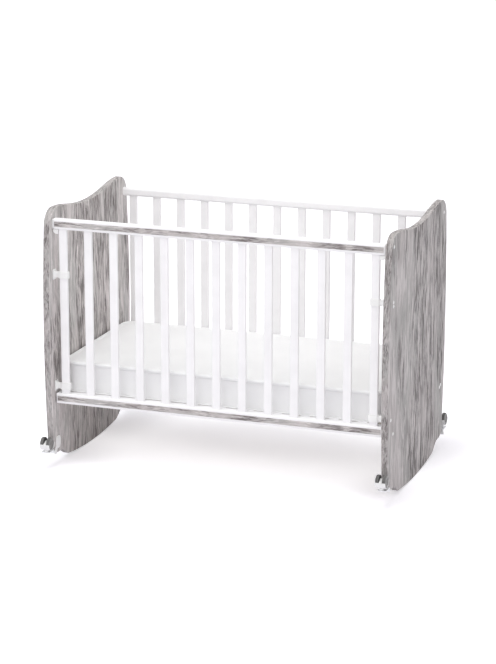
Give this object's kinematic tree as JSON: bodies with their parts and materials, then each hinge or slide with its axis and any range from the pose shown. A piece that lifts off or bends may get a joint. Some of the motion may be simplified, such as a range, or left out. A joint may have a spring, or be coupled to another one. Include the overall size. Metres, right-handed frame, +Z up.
{
  "type": "rocking crib",
  "caption": "Slatted crib with curved rocker ends, a sliding drop side with catches, a mattress, and twin-wheel casters that flip up.",
  "frame": {"origin": "on the floor, under the middle of the crib as it stands level on its rockers", "axes": "+X along the crib, -Y out of the drop-side front, +Z up"},
  "size_m": [1.279, 0.8164, 0.936],
  "materials": {
    "printed_board": "matt wood print",
    "white_lacquer": "satin white lacquer",
    "white_plastic": "satin",
    "base_timber": "plain sawn",
    "cover_cloth": "quilted woven cover",
    "hinge_steel": "zinc plated",
    "wheel_rubber": "matt"
  },
  "bodies": {
    "crib_frame": {"end_panel_left": "printed_board", "end_panel_right": "printed_board", "rear_top_rail": "white_lacquer", "rear_bottom_rail": "white_lacquer", "rear_slat_01": "white_lacquer", "rear_slat_02": "white_lacquer", "rear_slat_03": "white_lacquer", "rear_slat_04": "white_lacquer", "rear_slat_05": "white_lacquer", "rear_slat_06": "white_lacquer", "rear_slat_07": "white_lacquer", "rear_slat_08": "white_lacquer", "rear_slat_09": "white_lacquer", "rear_slat_10": "white_lacquer", "rear_slat_11": "white_lacquer", "rear_slat_12": "white_lacquer", "rear_slat_13": "white_lacquer", "guide_upper_left": "white_plastic", "guide_lower_left": "white_plastic", "catch_keeper_left": "white_plastic", "guide_upper_right": "white_plastic", "guide_lower_right": "white_plastic", "catch_keeper_right": "white_plastic", "mattress_base": "base_timber", "caster_cheek_front_left": "white_plastic", "caster_cheek_rear_left": "white_plastic", "caster_cheek_front_right": "white_plastic", "caster_cheek_rear_right": "white_plastic"},
    "drop_side": {"front_top_rail": "white_lacquer", "front_bottom_rail": "white_lacquer", "front_top_inlay": "printed_board", "front_bottom_inlay": "printed_board", "front_post_left": "white_lacquer", "front_post_right": "white_lacquer", "front_slat_01": "white_lacquer", "front_slat_02": "white_lacquer", "front_slat_03": "white_lacquer", "front_slat_04": "white_lacquer", "front_slat_05": "white_lacquer", "front_slat_06": "white_lacquer", "front_slat_07": "white_lacquer", "front_slat_08": "white_lacquer", "front_slat_09": "white_lacquer", "front_slat_10": "white_lacquer", "front_slat_11": "white_lacquer"},
    "catch_left": {"catch_bolt_left": "white_plastic"},
    "catch_right": {"catch_bolt_right": "white_plastic"},
    "mattress": {"mattress": "cover_cloth"},
    "leaf_front_left": {"caster_leaf_front_left": "hinge_steel"},
    "fork_front_left": {"caster_fork_front_left": "white_plastic"},
    "wheels_front_left": {"caster_wheels_front_left": "wheel_rubber"},
    "leaf_rear_left": {"caster_leaf_rear_left": "hinge_steel"},
    "fork_rear_left": {"caster_fork_rear_left": "white_plastic"},
    "wheels_rear_left": {"caster_wheels_rear_left": "wheel_rubber"},
    "leaf_front_right": {"caster_leaf_front_right": "hinge_steel"},
    "fork_front_right": {"caster_fork_front_right": "white_plastic"},
    "wheels_front_right": {"caster_wheels_front_right": "wheel_rubber"},
    "leaf_rear_right": {"caster_leaf_rear_right": "hinge_steel"},
    "fork_rear_right": {"caster_fork_rear_right": "white_plastic"},
    "wheels_rear_right": {"caster_wheels_rear_right": "wheel_rubber"}
  },
  "joints": [
    {"name": "drop_side_slide", "type": "slide", "parent": "crib_frame", "child": "drop_side", "axis": [0, 0, -1], "range_m": [0, 0.13]},
    {"name": "catch_left_slide", "type": "slide", "parent": "drop_side", "child": "catch_left", "axis": [-1, 0, 0], "range_m": [0, 0.004]},
    {"name": "catch_right_slide", "type": "slide", "parent": "drop_side", "child": "catch_right", "axis": [1, 0, 0], "range_m": [0, 0.004]},
    {"name": "mattress_lift", "type": "slide", "parent": "crib_frame", "child": "mattress", "axis": [0, 0, 1], "range_m": [0, 0.55]},
    {"name": "flip_front_left", "type": "hinge", "parent": "crib_frame", "child": "leaf_front_left", "pos_m": [-0.6175, -0.34253, 0.056], "axis": [1, 0, 0], "range_deg": [0, 180]},
    {"name": "swivel_front_left", "type": "hinge", "parent": "leaf_front_left", "child": "fork_front_left", "pos_m": [-0.6175, -0.3867, 0.072], "axis": [0, 0, 1], "continuous": true},
    {"name": "roll_front_left", "type": "hinge", "parent": "fork_front_left", "child": "wheels_front_left", "pos_m": [-0.6175, -0.3837, 0.1], "axis": [1, 0, 0], "continuous": true},
    {"name": "flip_rear_left", "type": "hinge", "parent": "crib_frame", "child": "leaf_rear_left", "pos_m": [-0.6175, 0.34253, 0.056], "axis": [-1, 0, 0], "range_deg": [0, 180]},
    {"name": "swivel_rear_left", "type": "hinge", "parent": "leaf_rear_left", "child": "fork_rear_left", "pos_m": [-0.6175, 0.3867, 0.072], "axis": [0, 0, 1], "continuous": true},
    {"name": "roll_rear_left", "type": "hinge", "parent": "fork_rear_left", "child": "wheels_rear_left", "pos_m": [-0.6175, 0.3837, 0.1], "axis": [1, 0, 0], "continuous": true},
    {"name": "flip_front_right", "type": "hinge", "parent": "crib_frame", "child": "leaf_front_right", "pos_m": [0.6175, -0.34253, 0.056], "axis": [1, 0, 0], "range_deg": [0, 180]},
    {"name": "swivel_front_right", "type": "hinge", "parent": "leaf_front_right", "child": "fork_front_right", "pos_m": [0.6175, -0.3867, 0.072], "axis": [0, 0, 1], "continuous": true},
    {"name": "roll_front_right", "type": "hinge", "parent": "fork_front_right", "child": "wheels_front_right", "pos_m": [0.6175, -0.3837, 0.1], "axis": [1, 0, 0], "continuous": true},
    {"name": "flip_rear_right", "type": "hinge", "parent": "crib_frame", "child": "leaf_rear_right", "pos_m": [0.6175, 0.34253, 0.056], "axis": [-1, 0, 0], "range_deg": [0, 180]},
    {"name": "swivel_rear_right", "type": "hinge", "parent": "leaf_rear_right", "child": "fork_rear_right", "pos_m": [0.6175, 0.3867, 0.072], "axis": [0, 0, 1], "continuous": true},
    {"name": "roll_rear_right", "type": "hinge", "parent": "fork_rear_right", "child": "wheels_rear_right", "pos_m": [0.6175, 0.3837, 0.1], "axis": [1, 0, 0], "continuous": true}
  ]
}
